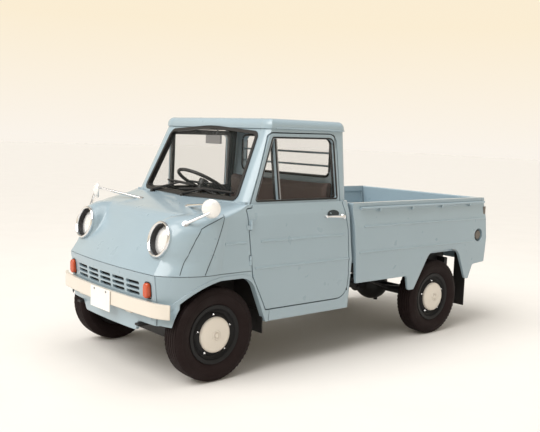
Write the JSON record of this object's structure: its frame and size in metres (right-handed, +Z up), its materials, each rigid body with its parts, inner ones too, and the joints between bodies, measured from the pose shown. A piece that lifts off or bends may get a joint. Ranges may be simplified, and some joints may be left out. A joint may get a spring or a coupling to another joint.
{
  "type": "kei truck",
  "caption": "Small forward-control pickup: rounded two-seat cab with hinged doors, drop-gate load bed, ladder frame, steered front wheels and a leaf-sprung rear axle.",
  "frame": {"origin": "centre of the footprint of the whole truck, on the ground", "axes": "+Z up, -Y towards the nose, +Y towards the tailgate, +X towards the truck's left side"},
  "size_m": [1.4182, 2.99, 1.5248],
  "materials": {
    "body_paint": "semi-gloss pale blue-grey enamel",
    "cream_paint": "semi-gloss cream enamel",
    "black_paint": "satin black chassis paint",
    "cast_metal": "raw casting with light oil",
    "tank_steel": "dull heated steel",
    "chrome": "bright plate",
    "lamp_glass": "ribbed clear glass",
    "window_glass": "clear flat glass",
    "amber_lens": "moulded amber",
    "red_lens": "moulded red",
    "black_rubber": "matt",
    "seat_vinyl": "grained dark brown vinyl",
    "dark_plastic": "satin",
    "tyre_rubber": "matt, used",
    "wheel_paint": "black wheel with a cream hub cap"
  },
  "bodies": {
    "chassis": {"nose_panel": "body_paint", "front_apron": "body_paint", "front_fender_left": "body_paint", "front_fender_right": "body_paint", "cab_side_left": "body_paint", "cab_side_right": "body_paint", "roof_panel": "body_paint", "cab_back": "body_paint", "cab_floor": "body_paint", "bed_side_left": "body_paint", "bed_side_right": "body_paint", "bed_front": "body_paint", "bed_floor": "body_paint", "rope_rails": "body_paint", "front_bumper": "cream_paint", "frame": "black_paint", "front_suspension": "black_paint", "rear_axle": "black_paint", "driveline": "cast_metal", "exhaust": "tank_steel", "fuel_tank": "tank_steel", "fuel_cap": "tank_steel", "headlamp_rims": "chrome", "fender_mirrors": "chrome", "headlamp_lenses": "lamp_glass", "cab_glass": "window_glass", "indicator_lamps": "amber_lens", "tail_lamps": "red_lens", "window_rubbers": "black_rubber", "mud_flaps": "black_rubber", "wipers": "black_rubber", "seat_cushion": "seat_vinyl", "seat_back": "seat_vinyl", "dashboard": "dark_plastic", "controls": "dark_plastic"},
    "door_left": {"door_left": "body_paint", "door_glass_left": "window_glass", "door_handle_left": "chrome"},
    "door_right": {"door_right": "body_paint", "door_glass_right": "window_glass", "door_handle_right": "chrome"},
    "tailgate": {"tailgate": "body_paint"},
    "knuckle_left": {"knuckle_left": "black_paint"},
    "knuckle_right": {"knuckle_right": "black_paint"},
    "tie_rod": {"tie_rod": "black_paint"},
    "steering_wheel": {"steering_wheel": "dark_plastic"},
    "wheel_front_left": {"tyre_front_left": "tyre_rubber", "wheel_front_left": "wheel_paint"},
    "wheel_front_right": {"tyre_front_right": "tyre_rubber", "wheel_front_right": "wheel_paint"},
    "wheel_rear_left": {"tyre_rear_left": "tyre_rubber", "wheel_rear_left": "wheel_paint"},
    "wheel_rear_right": {"tyre_rear_right": "tyre_rubber", "wheel_rear_right": "wheel_paint"}
  },
  "joints": [
    {"name": "steer_left", "type": "hinge", "parent": "chassis", "child": "knuckle_left", "pos_m": [0.455, -1.09, 0.274], "axis": [0, 0, 1], "range_deg": [-32, 32]},
    {"name": "steer_right", "type": "hinge", "parent": "chassis", "child": "knuckle_right", "pos_m": [-0.455, -1.09, 0.274], "axis": [0, 0, 1], "range_deg": [-32, 32]},
    {"name": "tie_rod_turn", "type": "hinge", "parent": "knuckle_left", "child": "tie_rod", "pos_m": [0.455, -0.96, 0.294], "axis": [0, 0, 1], "range_deg": [-32, 32]},
    {"name": "steering_wheel_turn", "type": "hinge", "parent": "chassis", "child": "steering_wheel", "pos_m": [-0.285, -0.565, 1.075], "axis": [0, 0.5, 0.866], "range_deg": [-500, 500]},
    {"name": "door_left_swing", "type": "hinge", "parent": "chassis", "child": "door_left", "pos_m": [0.6455, -0.876, 0.8], "axis": [0, 0, -1], "range_deg": [0, 60]},
    {"name": "door_right_swing", "type": "hinge", "parent": "chassis", "child": "door_right", "pos_m": [-0.6455, -0.876, 0.8], "axis": [0, 0, 1], "range_deg": [0, 60]},
    {"name": "tailgate_drop", "type": "hinge", "parent": "chassis", "child": "tailgate", "pos_m": [0, 1.479, 0.652], "axis": [-1, 0, 0], "range_deg": [0, 90]},
    {"name": "roll_front_left", "type": "hinge", "parent": "knuckle_left", "child": "wheel_front_left", "pos_m": [0.555, -1.09, 0.274], "axis": [1, 0, 0], "continuous": true},
    {"name": "roll_front_right", "type": "hinge", "parent": "knuckle_right", "child": "wheel_front_right", "pos_m": [-0.555, -1.09, 0.274], "axis": [1, 0, 0], "continuous": true},
    {"name": "roll_rear_left", "type": "hinge", "parent": "chassis", "child": "wheel_rear_left", "pos_m": [0.555, 0.91, 0.274], "axis": [1, 0, 0], "continuous": true},
    {"name": "roll_rear_right", "type": "hinge", "parent": "chassis", "child": "wheel_rear_right", "pos_m": [-0.555, 0.91, 0.274], "axis": [1, 0, 0], "continuous": true}
  ],
  "couplings": [
    {"joint": "steer_right", "follows": "steer_left", "ratio": 1},
    {"joint": "tie_rod_turn", "follows": "steer_left", "ratio": -1},
    {"joint": "steering_wheel_turn", "follows": "steer_left", "ratio": 15}
  ]
}
